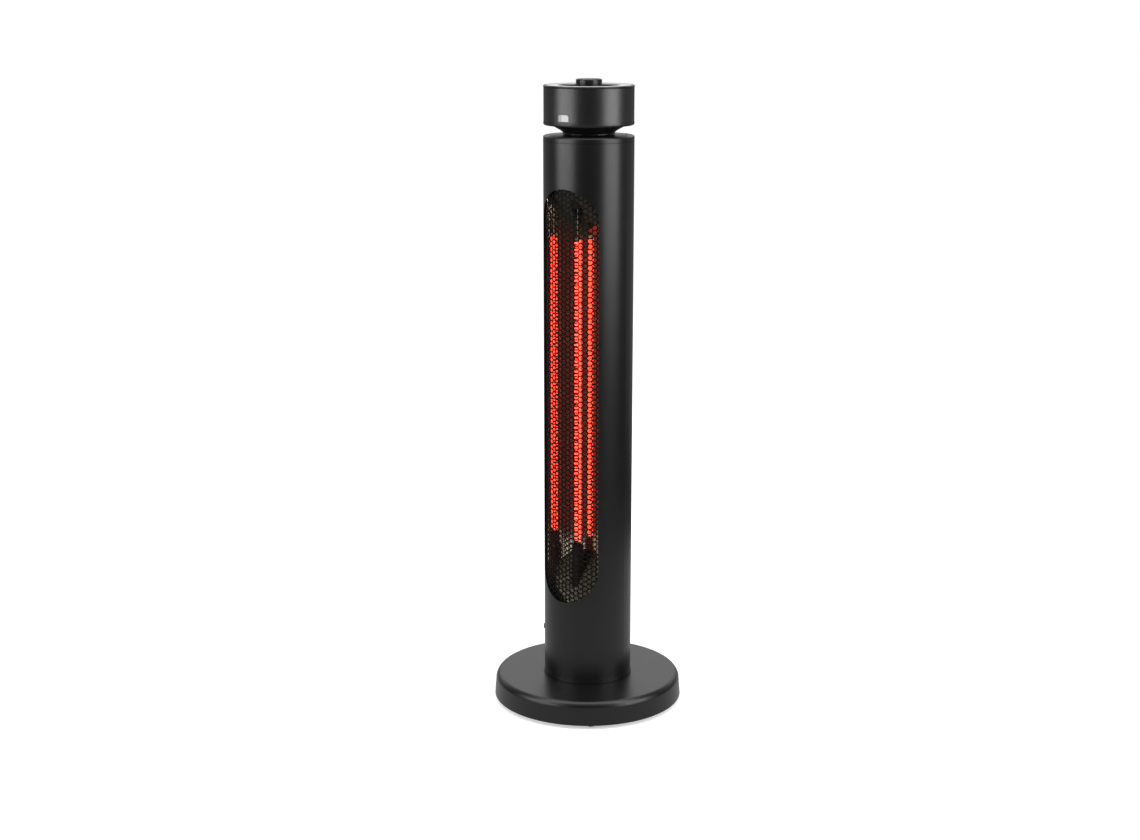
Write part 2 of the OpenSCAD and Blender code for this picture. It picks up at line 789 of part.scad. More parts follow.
module cap_screws() color(black_plastic) around(cap_screw_angles, cap_screw_r, column_top) difference() {
    union() {
        translate([0, 0, lug_top - lug_t - column_top])
            cylinder(r = m3_r, h = column_top - lug_top + lug_t);
        cylinder(r1 = m3_head_r, r2 = m3_r, h = m3_head_h/3);
    }
    cross_slot(m3_head_r, m3_head_h/3);
}

// Grille: a curved sheet with staggered hexagonal holes, held by welded studs
module mesh_grille() color(dark_mesh) difference() {
    rotate([0, 0, -90 - grille_half_angle]) translate([0, 0, grille_z])
        rotate_extrude(angle = 2*grille_half_angle)
            translate([grille_in_r, 0]) square([grille_t, grille_h]);
    for (i = [-grille_columns:grille_columns])
        for (k = [0:grille_rows - 1 - abs(i % 2)])
            around([i*grille_column_step], grille_in_r - overrun,
                grille_first_z + k*grille_pitch + abs(i % 2)*grille_pitch/2)
                rotate([0, 90, 0]) rotate([0, 0, 30])
                    cylinder(d = grille_hole/cos(30), h = grille_t + 2*overrun, $fn = 6);
    grille_stud_places(grille_in_r - overrun) cylinder(r = m3_r + slip, h = grille_t + 2*overrun);
}

module grille_stud_places(r) {
    for (k = [0:stud_count - 1])
        around([-stud_angle, stud_angle], r, grille_z + grille_margin + k*stud_step)
            rotate([0, 90, 0]) children();
}

module grille_studs() color(steel)
    grille_stud_places(bore_r - seat - stud_l) cylinder(r = m3_r, h = stud_l);

module grille_nuts() color(zinc) grille_stud_places(grille_in_r - nut_seat - nut_t) difference() {
    cylinder(r = nut_r, h = nut_t, $fn = 6);
    hole(m3_r, 0, nut_t);
}

// Chassis rail from the turntable's floor to the cap
module chassis() color(zinc) difference() {
    union() {
        translate([-chassis_w/2, chassis_front, tube_z]) cube([chassis_w, chassis_t, cap_under - tube_z]);
        for (s = [-1, 1]) translate([s*(chassis_w/2 - chassis_t/2) - chassis_t/2, chassis_front, tube_z])
            cube([chassis_t, chassis_d, cap_under - tube_z]);
        for (s = [0, 1]) for (z = [tube_z, cap_under - chassis_t]) mirror([s, 0, 0])
            translate([chassis_w/2 - chassis_t, chassis_front, z])
                cube([chassis_foot_l + chassis_t, chassis_d, chassis_t]);
    }
    for (s = [-1, 1]) translate([s*chassis_screw_x, chassis_screw_y, 0]) {
        hole(m3_r + slip, tube_z, chassis_t);
        hole(m3_r + slip, cap_under - chassis_t, chassis_t);
    }
    mirror_screw_places() translate([0, 0, -chassis_t - overrun])
        cylinder(r = m3_r, h = chassis_t + 2*overrun);
    translate([0, chassis_front - overrun, 0]) clip_screw_places()
        cylinder(r = m3_r, h = chassis_t + 2*overrun);
}

// The small screws of the rail, tilt switch, lamp clips and control board
module inner_screws() color(zinc) {
    translate([0, chassis_front - clip_t, 0]) clip_screw_places()
        screw_up(m3_r, m3_head_r, m3_head_h, clip_t + chassis_t);
    board_pillar_places() translate([0, 0, board_z + board_t]) mirror([0, 0, 1])
        screw_up(m3_r, m3_head_r, m3_head_h, board_t + board_screw_l - play);
    for (s = [-1, 1]) {
        translate([s*chassis_screw_x, chassis_screw_y, tube_z + chassis_t]) mirror([0, 0, 1])
            screw_up(m3_r, m3_head_r, m3_head_h, chassis_t + chassis_screw_l - play);
        translate([s*chassis_screw_x, chassis_screw_y, cap_under - chassis_t])
            screw_up(m3_r, m3_head_r, m3_head_h, chassis_t + cap_plate_t - play);
        translate([s*tilt_screw_x, tilt_y, tube_z + tilt_ear_t]) mirror([0, 0, 1])
            screw_up(m3_r, m3_head_r, m3_head_h, tilt_ear_t + tilt_screw_l - play);
    }
}

// Mirror trough: half outlines of its inner and outer faces
function trough_half(grow) = [
    [mirror_back_x + grow/2, -mirror_offset + grow],
    [mirror_knee[0] + grow, -mirror_knee[1] + grow/2],
    [mirror_mouth[0] + grow, -mirror_mouth[1]]
];
function trough(grow) = let (half = trough_half(grow))
    concat(half, [for (i = [2:-1:0]) [-half[i][0], half[i][1]]]);

// The space between the two sloped ends, drawn in by a shift along Z
module between_slopes(shift) {
    rotate([90, 0, 90]) translate([0, 0, -column_r]) linear_extrude(column_d) polygon([
        [-mirror_offset + column_r, mirror_bottom + shift],
        [-mirror_offset, mirror_bottom + shift],
        [-mirror_offset - slope_run*2, mirror_bottom + shift - slope_rise*2],
        [-mirror_offset - slope_run*2, mirror_top - shift + slope_rise*2],
        [-mirror_offset, mirror_top - shift],
        [-mirror_offset + column_r, mirror_top - shift]
    ]);
}

module trough_long() {
    translate([0, 0, mirror_bottom - slope_rise])
        linear_extrude(mirror_top - mirror_bottom + 2*slope_rise) children();
}

module reflector() color(mirror_silver) intersection() {
    difference() {
        trough_long() difference() {
            polygon(trough(mirror_t));
            polygon(concat([[mirror_mouth[0], -mirror_mouth[1] - overrun]],
                [for (i = [2, 1, 0, 5, 4, 3]) trough(0)[i]],
                [[-mirror_mouth[0], -mirror_mouth[1] - overrun]]));
        }
        mirror_screw_places() translate([0, 0, -overrun])
            cylinder(r = m3_r + slip, h = mirror_t + 2*overrun);
    }
    between_slopes(0);
}

// Screw places on the mirror's back wall, z pointing to the front
module mirror_screw_places() {
    for (s = [-1, 1]) for (z = [mirror_bottom + mirror_screw_inset, mirror_top - mirror_screw_inset])
        translate([s*mirror_screw_x, chassis_front, z]) rotate([90, 0, 0]) children();
}

module reflector_screws() color(mirror_silver) mirror_screw_places() {
    translate([0, 0, -chassis_t]) cylinder(r = m3_r, h = chassis_t + mirror_t);
    translate([0, 0, mirror_t]) cylinder(r1 = m3_head_r, r2 = m3_r, h = m3_head_h/2);
}

// Each sloped end reaches forward to the grille
module end_space() intersection() {
    translate([0, 0, grille_z]) linear_extrude(grille_h) polygon(concat(
        [for (i = [0:2]) trough(0)[i]],
        [[mirror_mouth[0], -column_r], [-mirror_mouth[0], -column_r]],
        [for (i = [3:5]) trough(0)[i]]));
    translate([0, 0, grille_z]) cylinder(r = grille_in_r - mirror_end_gap, h = grille_h);
}

module reflector_ends() color(mirror_silver) difference() {
    intersection() {
        end_space();
        difference() {
            between_slopes(0);
            between_slopes(mirror_t/cos(mirror_slope));
        }
    }
    translate([0, -lamp_offset, 0]) cylinder(r = lamp_hole_r, h = column_top);
}

// Lamp
module at_lamp(z) {
    translate([0, -lamp_offset, z]) children();
}

module lamp_glass() color(quartz) at_lamp(low_cap_top - lamp_grip)
    ring(glass_r, glass_r - glass_wall, high_cap_z - low_cap_top + 2*lamp_grip);

module lamp_caps() color(ceramic) {
    at_lamp(low_cap_top - low_cap_h) difference() {
        cylinder(r = lamp_cap_r, h = low_cap_h);
        translate([0, 0, low_cap_h - lamp_grip]) cylinder(r = glass_r + seat, h = lamp_grip + overrun);
    }
    at_lamp(high_cap_z) difference() {
        cylinder(r = lamp_cap_r, h = high_cap_h);
        translate([0, 0, -overrun]) cylinder(r = glass_r + seat, h = lamp_grip + overrun);
    }
}

module lamp_leads() color(zinc) {
    at_lamp(low_cap_top - lamp_grip) cylinder(r = lead_rod_r, h = lamp_grip + low_cap_gap - lead_disc_t);
    at_lamp(heated_z - lead_disc_t) cylinder(r = lead_disc_r, h = lead_disc_t);
    at_lamp(heated_top) cylinder(r = lead_disc_r, h = lead_disc_t);
    at_lamp(heated_top + lead_disc_t)
        cylinder(r = lead_rod_r, h = high_cap_z + lamp_grip - heated_top - lead_disc_t);
}

module lamp_clips() color(zinc) for (z = [low_clip_z, high_clip_z]) {
    difference() {
        at_lamp(z) ring(lamp_cap_r + seat + clip_t, lamp_cap_r + seat, clip_h);
        translate([-column_r, -column_r - lamp_offset - clip_mouth, z - overrun])
            cube([column_d, column_r, clip_h + 2*overrun]);
    }
    translate([-clip_arm_w/2, -lamp_offset + lamp_cap_r + clip_t/2, z])
        cube([clip_arm_w, lamp_offset - lamp_cap_r - clip_t/2 + chassis_front - clip_t, clip_h]);
    difference() {
        translate([-clip_base_w/2, chassis_front - clip_t, z]) cube([clip_base_w, clip_t, clip_h]);
        translate([0, chassis_front - clip_t - overrun, 0])
            clip_screw_places() cylinder(r = m3_r + slip, h = clip_t + 2*overrun);
    }
}

module clip_screw_places() {
    for (s = [-1, 1]) for (z = [low_clip_z, high_clip_z])
        translate([s*(clip_base_w/2 - m3_head_r), 0, z + clip_h/2]) rotate([-90, 0, 0]) children();
}

// One ring of the strand: its angle round the coil, its height and its climb
function coil_ring(a, z, climb) = let (
    u = [cos(a), sin(a), 0],
    v = [-sin(climb)*sin(a), sin(climb)*cos(a), -cos(climb)]
) [for (j = [0:strand_sides - 1]) let (t = 360*j/strand_sides)
    coil_mid_r*u + [0, 0, z] + strand_r*(cos(t)*u + sin(t)*v)];

function coil_height(i) = coil_z + coil_len*i/coil_ring_count;
function coil_turn(i) = 360*i/curl_rings;
function coil_middle(i) = [coil_mid_r*cos(coil_turn(i)), coil_mid_r*sin(coil_turn(i)), coil_height(i)];
function least_curl_gap() = min([for (i = [0:2*curl_rings]) for (j = [i + curl_rings/2:i + 2*curl_rings])
    norm(coil_middle(j) - coil_middle(i))]) - strand_d;

module lamp_filament() color(ember) at_lamp(0) {
    bend = (90 + coil_rise)/2;
    rings = concat(
        [coil_ring(0, heated_z, 90)],
        [for (i = [0:coil_ring_count])
            coil_ring(coil_turn(i), coil_height(i), i == 0 || i == coil_ring_count ? bend : coil_rise)],
        [coil_ring(coil_turn(coil_ring_count), heated_top, 90)]
    );
    last = len(rings) - 1;
    n = strand_sides;
    points = [for (r = rings) for (p = r) p];
    sides = [for (i = [0:last - 1]) for (j = [0:n - 1]) let (k = (j + 1) % n)
        each [[i*n + j, (i + 1)*n + j, (i + 1)*n + k], [i*n + j, (i + 1)*n + k, i*n + k]]];
    low_end = [for (j = [1:n - 2]) [0, j, j + 1]];
    high_end = [for (j = [1:n - 2]) [last*n, last*n + j + 1, last*n + j]];
    polyhedron(points, concat(low_end, sides, high_end));
}

// Thermal cut-out on the rail's back, and the tilt switch on the turntable's floor
module thermal_cutout() color(black_plastic) translate([cutout_x, chassis_front + chassis_t, cutout_z]) {
    rotate([-90, 0, 0]) cylinder(r = cutout_r, h = cutout_h);
    for (s = [-1, 1]) translate([s*cutout_r/2 - cutout_tab_w/2, cutout_h/2, cutout_r/2])
        cube([cutout_tab_w, mirror_t, cutout_tab_h]);
}

module tilt_housing() color(pom_white) difference() {
    translate([0, tilt_y, tube_z]) union() {
        translate([-tilt_w/2, -tilt_d/2, 0]) cube([tilt_w, tilt_d, tilt_h]);
        for (s = [0, 1]) mirror([s, 0, 0]) translate([tilt_w/2 - seat, -tilt_ear_w/2, 0])
            cube([tilt_ear_w + seat, tilt_ear_w, tilt_ear_t]);
    }
    translate([-tilt_w/2 + tilt_wall, tilt_y - tilt_d/2 + tilt_wall, tube_z + tilt_wall])
        cube([tilt_w - 2*tilt_wall, tilt_d - 2*tilt_wall, tilt_h]);
    translate([-tilt_w/2 - overrun, tilt_y, tilt_pin_z]) rotate([0, 90, 0])
        cylinder(r = tilt_pin_r, h = tilt_w + 2*overrun);
    for (s = [-1, 1]) translate([s*tilt_screw_x, tilt_y, 0]) hole(m3_r + slip, tube_z, tilt_ear_t);
}

module tilt_cover() color(pom_white) translate([-tilt_w/2, tilt_y - tilt_d/2, tube_z + tilt_h])
    cube([tilt_w, tilt_d, tilt_cover_t]);

module tilt_pin() color(zinc) translate([-tilt_w/2, tilt_y, tilt_pin_z]) rotate([0, 90, 0])
    cylinder(r = tilt_pin_r, h = tilt_w);

module tilt_pendulum() color(cast_grey) difference() {
    translate([0, tilt_y, tilt_pin_z]) union() {
        rotate([0, 90, 0]) translate([0, 0, -pendulum_arm_w/2])
            cylinder(r = pendulum_eye_r, h = pendulum_arm_w);
        translate([-pendulum_arm_w/2, -pendulum_arm_w/2, -pendulum_l])
            cube([pendulum_arm_w, pendulum_arm_w, pendulum_l]);
        translate([0, 0, -pendulum_l - bob_h/2]) cylinder(r = bob_r, h = bob_h);
    }
    translate([-tilt_w/2, tilt_y, tilt_pin_z]) rotate([0, 90, 0])
        cylinder(r = tilt_pin_r + running, h = tilt_w);
}

module column_wiring() color(wire_grey) translate([0, 0, terminal_top + play])
    cylinder(r = harness_r, h = board_z - play - terminal_top - play);

// Neck, funnel and head
module neck_collar() color(black_plastic) rotate_extrude() polygon(concat(
    [[neck_bore_r, neck_z], [neck_foot_r, neck_z]],
    arc_points(neck_foot_r - neck_h/2, neck_z + neck_h/2, neck_h/2, -60, 60),
    [[neck_top_r, funnel_z], [neck_bore_r, funnel_z]]
));

module neck_funnel() color(black_plastic) rotate_extrude() polygon(concat(
    [[neck_bore_r, funnel_z]],
    [for (p = funnel_shares)
        [funnel_low_r + (funnel_high_r - funnel_low_r)*p[0], funnel_z + funnel_h*p[1]]],
    [[neck_bore_r, head_z]]
));

module neck_screws() color(zinc) around(neck_screw_angles, neck_screw_circle_r, cap_under)
    screw_up(m4_r, m4_head_r, m4_head_h, head_z + tray_t + neck_boss_h - cap_under - play);

module head_tray() color(black_plastic) difference() {
    union() {
        translate([0, 0, head_z]) cylinder(r = tray_r - shell_lip_w, h = tray_t);
        translate([0, 0, head_z + shell_lip_t]) cylinder(r = tray_r, h = tray_t - shell_lip_t);
        around(neck_screw_angles, neck_screw_circle_r, head_z)
            cylinder(r = m4_r + boss_wall, h = tray_t + neck_boss_h);
        board_pillar_places() translate([0, 0, head_z])
            cylinder(r = board_pillar_r, h = tray_t + board_rise);
    }
    hole(tray_hole_r, head_z, tray_t);
    board_pillar_places() translate([0, 0, board_z - board_screw_l])
        cylinder(r = m3_r, h = board_screw_l + overrun);
    around(neck_screw_angles, neck_screw_circle_r, 0) hole(m4_r, head_z, tray_t + neck_boss_h);
    around(post_angles, post_circle_r, 0) {
        hole(m3_r + slip, head_z, tray_t);
        translate([0, 0, head_z - overrun]) cylinder(r = m3_head_r + play, h = m3_head_h + overrun);
    }
}

module board_pillar_places() {
    for (s = [-1, 1]) for (y = [-board_pillar_front, board_pillar_back])
        translate([s*board_pillar_x, y, 0]) children();
}

module head_shell() color(black_paint) difference() {
    rotate_extrude() polygon(concat(
        [[head_in_r - shell_lip_w, head_z]],
        arc_points(head_r + head_lip - head_round, head_z + head_round, head_round, -90, 0),
        [[head_r, head_z + 2*head_round], [head_r, bead_z], [head_in_r, bead_z]],
        [[head_in_r, head_z + shell_lip_t], [head_in_r - shell_lip_w, head_z + shell_lip_t]]
    ));
    lens_cut(slip);
}

module lens_outline(grow) {
    difference() {
        translate([-lens_w/2 - grow, lens_z - grow]) square([lens_w + 2*grow, lens_h + 2*grow]);
        for (s = [0, 1]) mirror([s, 0, 0])
            translate([lens_w/2 + grow - lens_round, lens_z + lens_h + grow - lens_round]) difference() {
                square([lens_round + overrun, lens_round + overrun]);
                circle(r = lens_round);
            }
    }
}

module lens_cut(grow) {
    rotate([90, 0, 0]) translate([0, 0, head_in_r/2]) linear_extrude(head_r) lens_outline(grow);
}

module receiver_lens() color(lens_grey) intersection() {
    translate([0, 0, head_z]) ring(head_r + lens_proud, head_r + lens_proud - lens_t, head_h);
    lens_cut(-slip);
}

module rim_bead() color(black_plastic) rotate_extrude() polygon(concat(
    [[head_r + head_lip - bead_w, bead_z]],
    arc_points(head_r + head_lip - bead_h/2, bead_z + bead_h/2, bead_h/2, -80, 90),
    [[head_r + head_lip - bead_w + bead_h/4, head_top], [head_r + head_lip - bead_w, head_top - bead_h/4]]
));

module top_ring() color(mirror_silver) translate([0, 0, ring_z]) ring(ring_out_r, well_r, ring_t);

module dial_well() color(black_plastic) difference() {
    union() {
        translate([0, 0, ring_z - well_flange_t]) cylinder(r = ring_out_r, h = well_flange_t);
        translate([0, 0, well_floor - well_wall])
            cylinder(r = well_r + well_wall, h = ring_z - well_floor + well_wall);
        around(post_angles, post_circle_r, head_z + tray_t)
            cylinder(r = post_r, h = ring_z - head_z - tray_t);
    }
    translate([0, 0, well_floor]) cylinder(r = well_r, h = well_depth + overrun);
    hole(bushing_r + slip, well_floor - well_wall, well_wall);
    around(post_angles, post_circle_r, head_z + tray_t - overrun) cylinder(r = m3_r, h = head_screw_l);
}

module head_screws() color(black_plastic) around(post_angles, post_circle_r, head_z + m3_head_h)
    screw_up(m3_r, m3_head_r, m3_head_h, head_screw_l - m3_head_h);

// Rotary switch and knob
module rotary_switch() color(pom_white) difference() {
    union() {
        translate([-switch_w/2, -switch_w/2, switch_top - switch_h]) cube([switch_w, switch_w, switch_h]);
        translate([0, 0, switch_top]) cylinder(r = bushing_r, h = well_wall + washer_gap + switch_nut_t);
        for (s = [-1, 1]) translate([s*switch_w/3, 0, board_z + board_t])
            cylinder(r = prong_r, h = switch_top - switch_h - board_z - board_t + seat);
    }
    translate([0, 0, switch_top - switch_h/2])
        cylinder(r = switch_shaft_r + running, h = switch_h + well_wall + switch_nut_t);
}

module switch_nut() color(zinc) translate([0, 0, well_floor]) difference() {
    cylinder(r = switch_nut_r, h = switch_nut_t, $fn = 6);
    hole(bushing_r, 0, switch_nut_t);
}

module switch_shaft() color(zinc) translate([0, 0, switch_top - switch_h/2 + play])
    cylinder(r = switch_shaft_r, h = shaft_top - switch_top + switch_h/2 - play);

module control_knob() color(black_plastic) difference() {
    rotate_extrude() polygon(concat(
        [[0, knob_z], [knob_r, knob_z]],
        arc_points(knob_r - knob_round, knob_top - knob_round, knob_round, 0, 90),
        [[0, knob_top]]
    ));
    difference() {
        translate([0, 0, knob_z - overrun])
            cylinder(r = knob_r - knob_wall, h = knob_top - knob_wall - knob_z + overrun);
        translate([0, 0, knob_z + switch_nut_t + 2*knob_gap]) cylinder(r = knob_hub_r, h = knob_top);
    }
    translate([0, 0, knob_z]) cylinder(r = switch_shaft_r, h = shaft_top - knob_z);
    pointer(slip, overrun);
}

module knob_pointer() color(zinc) pointer(0, 0);

module pointer(grow, rise) {
    translate([-pointer_w/2 - grow, -knob_r + knob_round - grow, knob_top - pointer_t - grow])
        cube([pointer_w + 2*grow, pointer_l + 2*grow, pointer_t + grow + rise]);
}

// Electronics
module control_board() color(board_green) difference() {
    intersection() {
        translate([-board_w/2, -board_front, board_z]) cube([board_w, board_front + board_back, board_t]);
        translate([0, 0, board_z]) cylinder(r = head_in_r - board_edge_gap, h = board_t);
    }
    board_pillar_places() hole(m3_r, board_z, board_t);
}

module board_parts() color(pom_white) {
    translate([relay_place[0] - relay_size[0]/2, relay_place[1] - relay_size[1]/2, board_z + board_t])
        cube(relay_size);
    translate([choke_place[0] - choke_size[0]/2, choke_place[1] - choke_size[1]/2, board_z + board_t])
        cube(choke_size);
    translate([capacitor_place[0], capacitor_place[1], board_z + board_t])
        cylinder(r = capacitor_r, h = capacitor_h);
}

module ir_receiver() color(black_plastic)
    translate([-receiver_w/2, -board_front, lens_z]) cube([receiver_w, receiver_d, board_z - lens_z]);

base_cover();
base_plate();
ballast_ring();
rubber_feet();
plate_screws();
cord_gland();
cord_clamp();
clamp_screws();
base_wiring();
terminal_block();
swing_motor();
motor_screws();
motor_shaft();
motor_pinion();
thrust_bush();
turntable();
sector_gear();
gear_screws();
column_tube();
tube_screws();
tube_lugs();
column_cap();
cap_screws();
mesh_grille();
grille_studs();
grille_nuts();
chassis();
inner_screws();
reflector();
reflector_ends();
reflector_screws();
lamp_glass();
lamp_filament();
lamp_leads();
lamp_caps();
lamp_clips();
thermal_cutout();
tilt_housing();
tilt_cover();
tilt_pin();
tilt_pendulum();
column_wiring();
neck_collar();
neck_funnel();
neck_screws();
head_tray();
head_shell();
rim_bead();
top_ring();
dial_well();
head_screws();
rotary_switch();
switch_nut();
switch_shaft();
control_knob();
knob_pointer();
control_board();
board_parts();
ir_receiver();
receiver_lens();
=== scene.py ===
import json
import math

import bpy
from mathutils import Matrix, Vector

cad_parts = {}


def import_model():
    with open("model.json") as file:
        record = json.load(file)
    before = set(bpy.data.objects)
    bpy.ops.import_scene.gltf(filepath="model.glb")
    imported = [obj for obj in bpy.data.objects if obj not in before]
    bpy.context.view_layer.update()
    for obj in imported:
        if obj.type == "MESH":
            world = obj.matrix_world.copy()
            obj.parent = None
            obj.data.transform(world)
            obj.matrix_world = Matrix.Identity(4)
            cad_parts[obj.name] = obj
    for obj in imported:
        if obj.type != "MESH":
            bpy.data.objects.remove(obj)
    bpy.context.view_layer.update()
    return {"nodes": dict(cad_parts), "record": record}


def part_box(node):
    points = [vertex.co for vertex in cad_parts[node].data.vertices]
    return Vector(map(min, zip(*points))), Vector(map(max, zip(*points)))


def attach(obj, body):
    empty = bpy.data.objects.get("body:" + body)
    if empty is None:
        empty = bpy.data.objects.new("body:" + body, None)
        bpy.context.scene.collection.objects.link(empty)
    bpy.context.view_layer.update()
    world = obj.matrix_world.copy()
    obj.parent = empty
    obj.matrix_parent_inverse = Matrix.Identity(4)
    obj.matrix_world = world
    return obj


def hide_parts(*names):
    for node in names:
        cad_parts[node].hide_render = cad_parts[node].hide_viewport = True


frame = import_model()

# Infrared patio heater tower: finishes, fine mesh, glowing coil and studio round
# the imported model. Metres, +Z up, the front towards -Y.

MM = 0.001

# Camera, as the photograph was taken: metres, degrees and millimetres of lens
CAMERA_PLACE = (1.4558, -2.1807, 1.0429)
CAMERA_TURN = (75.80, 0.0, 34.31)
CAMERA_LENS = 57.69
CAMERA_SENSOR = 36
CAMERA_SHIFT_Y = 0.0297
CAMERA_CLIP = (0.05, 100)

# Heater mesh: flat-topped hexagons in a curved sheet, which spans its angle to each side
CELL = 7.6 * MM
HOLE = 5.8 * MM
MESH_T = 1.0 * MM
MESH_GAP = 0.3 * MM
MESH_SPAN = math.radians(60)
MESH_MARGIN = 4 * MM
TUBE_WALL = 1.5 * MM
HEX_TURNS = [math.radians(60 * n) for n in range(6)]
HEX_EDGES = [(n, (n + 1) % 6) for n in range(6)]

# Micrometres in a metre: points of the mesh that round to the same one are joined
MICROMETRES = 1e6

# Coil of the lamp
STRAND_D = 2.2 * MM
CURLS = 90
RINGS_PER_CURL = 28
STRAND_SIDES = 10

# Seam of the column's cap, a painted shade line round the tube close under its top: the gloss drops
# in a thin band there
SEAM_DROP = 4.2 * MM
SEAM_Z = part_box("column_tube")[1].z - SEAM_DROP
SEAM_REACH = (0.2 * MM, 0.7 * MM)
PAINTED_SEAM_SHADE_GLOSS = 0.08

# Painted red glow on the mirror, an emission that stands in for the lamp's light: its
# strength close to the lamp's axis and further off, with the two distances. It falls to a
# share past the coil's ends, between a place inside the end and one past it
PAINTED_RED_GLOW = (0.085, 0.03, 15 * MM, 45 * MM)
PAINTED_GLOW_END_SHARE = 0.25
PAINTED_GLOW_INSIDE_END = 30 * MM
PAINTED_GLOW_PAST_END = 20 * MM

# Receiver window: where it changes from its dark side to its pale one, a painted reflection
LENS_PAINTED_REFLECTION_STEP = (-3.2 * MM, -2.2 * MM)

# Edges sharper than this stay sharp
CAD_SHARP = math.radians(32)
PIECE_SHARP = math.radians(40)

NODES = frame["nodes"]


# Shader parts
def shader(name):
    """A new material with its Principled shader, as (material, tree, shader)."""
    made = bpy.data.materials.new(name)
    made.use_nodes = True
    tree = made.node_tree
    return made, tree, tree.nodes["Principled BSDF"]


def place(tree):
    """Object coordinates: the same as the frame's, in metres."""
    return tree.nodes.new("ShaderNodeTexCoord").outputs["Object"]


def stretched(tree, scale):
    """Object coordinates stretched by a scale for each axis."""
    node = tree.nodes.new("ShaderNodeMapping")
    node.inputs["Scale"].default_value = scale
    tree.links.new(place(tree), node.inputs["Vector"])
    return node.outputs["Vector"]


def axis(tree, name, vector=None):
    """One coordinate of a vector, or of the place in metres."""
    node = tree.nodes.new("ShaderNodeSeparateXYZ")
    tree.links.new(vector or place(tree), node.inputs["Vector"])
    return node.outputs[name]


def noise(tree, scale, detail=2, vector=None):
    """Noise of a scale in features a metre."""
    node = tree.nodes.new("ShaderNodeTexNoise")
    node.inputs["Scale"].default_value = scale
    node.inputs["Detail"].default_value = detail
    tree.links.new(vector or place(tree), node.inputs["Vector"])
    return node.outputs["Fac"]


def cells(tree, scale):
    """Distance to the nearest of scattered points."""
    node = tree.nodes.new("ShaderNodeTexVoronoi")
    node.inputs["Scale"].default_value = scale
    tree.links.new(place(tree), node.inputs["Vector"])
    return node.outputs["Distance"]


def ranged(tree, value, low, high, from_low=0.3, from_high=0.7):
    """Value mapped from one range to another, held at the ends. Most of a noise lies between
    the ends that it starts from here."""
    node = tree.nodes.new("ShaderNodeMapRange")
    node.interpolation_type = "SMOOTHSTEP"
    node.inputs["From Min"].default_value = from_low
    node.inputs["From Max"].default_value = from_high
    node.inputs["To Min"].default_value = low
    node.inputs["To Max"].default_value = high
    tree.links.new(value, node.inputs["Value"])
    return node.outputs["Result"]


def blended(tree, factor, dark, light):
    """A colour between two, by a factor."""
    node = tree.nodes.new("ShaderNodeMix")
    node.data_type = "RGBA"
    node.inputs["A"].default_value = (*dark, 1.0)
    node.inputs["B"].default_value = (*light, 1.0)
    tree.links.new(factor, node.inputs["Factor"])
    return node.outputs["Result"]


def maths(tree, operation, first, second=0.0):
    """One sum of two values, each a socket or a number."""
    node = tree.nodes.new("ShaderNodeMath")
    node.operation = operation
    for socket, value in zip(node.inputs, (first, second)):
        if isinstance(value, (int, float)):
            socket.default_value = value
        else:
            tree.links.new(value, socket)
    return node.outputs["Value"]


def vector_maths(tree, operation, first, second=(0, 0, 0)):
    """The outputs of one sum of a vector's socket and three numbers."""
    node = tree.nodes.new("ShaderNodeVectorMath")
    node.operation = operation
    tree.links.new(first, node.inputs[0])
    node.inputs[1].default_value = second
    return node.outputs


def coloured(tree, surface, factor, dark, light):
    """Joins a colour between two to the shader."""
    tree.links.new(blended(tree, factor, dark, light), surface.inputs["Base Color"])


def roughened(tree, surface, factor, low, high, *span):
    """Joins a roughness between two values to the shader."""
    tree.links.new(ranged(tree, factor, low, high, *span), surface.inputs["Roughness"])


def bumped(tree, surface, height, strength, distance):
    """Joins a height to the shader's normal."""
    node = tree.nodes.new("ShaderNodeBump")
    node.inputs["Strength"].default_value = strength
    node.inputs["Distance"].default_value = distance
    tree.links.new(height, node.inputs["Height"])
    tree.links.new(node.outputs["Normal"], surface.inputs["Normal"])


# Materials
def powder_coat(name, rough, gloss):
    """Satin black powder coat with a fine orange-peel grain, with painted shade in the seam under
    the cap, where the gloss drops.
    """
    made, tree, surface = shader(name)
    grain = noise(tree, scale=700, detail=4)
    cloud = noise(tree, scale=26, detail=3)
    coloured(tree, surface, cloud, dark=(0.0034, 0.0034, 0.0036), light=(0.0058, 0.0058, 0.0061))
    roughened(tree, surface, grain, rough - 0.04, rough + 0.04)
    # Painted shade of the seam: the gloss falls to a low level in a thin band at the seam's height
    from_seam = maths(tree, "ABSOLUTE", maths(tree, "SUBTRACT", axis(tree, "Z"), SEAM_Z))
    gloss_with_painted_seam_shade = ranged(tree, from_seam, PAINTED_SEAM_SHADE_GLOSS, gloss, *SEAM_REACH)
    tree.links.new(gloss_with_painted_seam_shade, surface.inputs["Specular IOR Level"])
    bumped(tree, surface, grain, strength=0.5, distance=0.1 * MM)
    return made


def moulded(name, dark, light, rough, grain_scale=900):
    """Moulded plastic with a fine spark-eroded grain."""
    made, tree, surface = shader(name)
    grain = noise(tree, grain_scale, detail=4)
    coloured(tree, surface, noise(tree, scale=40), dark, light)
    roughened(tree, surface, grain, rough - 0.04, rough + 0.05)
    surface.inputs["Specular IOR Level"].default_value = 0.45
    bumped(tree, surface, grain, strength=0.3, distance=0.05 * MM)
    return made


def enamel():
    """Black enamel on the perforated sheet."""
    made, tree, surface = shader("mesh_black")
    grain = noise(tree, scale=800, detail=3)
    coloured(tree, surface, grain, dark=(0.003, 0.0028, 0.0026), light=(0.006, 0.0055, 0.005))
    roughened(tree, surface, grain, 0.5, 0.65)
    surface.inputs["Specular IOR Level"].default_value = 0.06
    bumped(tree, surface, grain, strength=0.2, distance=0.04 * MM)
    return made


